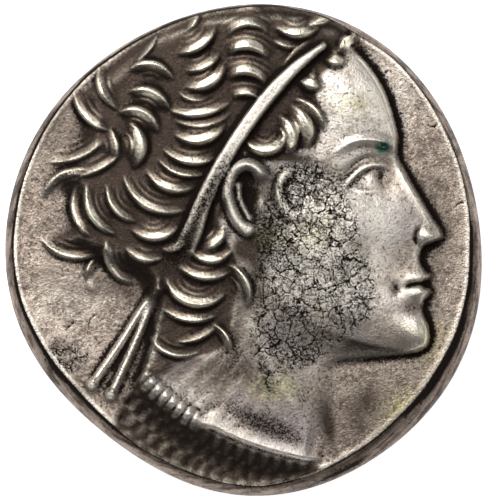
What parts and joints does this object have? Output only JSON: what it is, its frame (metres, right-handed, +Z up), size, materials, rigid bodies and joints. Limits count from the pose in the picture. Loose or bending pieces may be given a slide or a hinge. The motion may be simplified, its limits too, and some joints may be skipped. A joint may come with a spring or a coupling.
{
  "type": "struck coin",
  "caption": "Thick struck silver coin with an irregular round edge, a head in profile in high relief on one side and a standing eagle on the other.",
  "frame": {"origin": "middle of the outline, on the surface that the coin lies on", "axes": "+Z up out of the side with the head, +Y towards the top of the head, +X the way the head faces"},
  "size_m": [0.0242, 0.025, 0.0039],
  "materials": {
    "silver": "worn and toned, with dark deposits in the hollows"
  },
  "bodies": {
    "root": {"coin": "silver"}
  },
  "joints": []
}
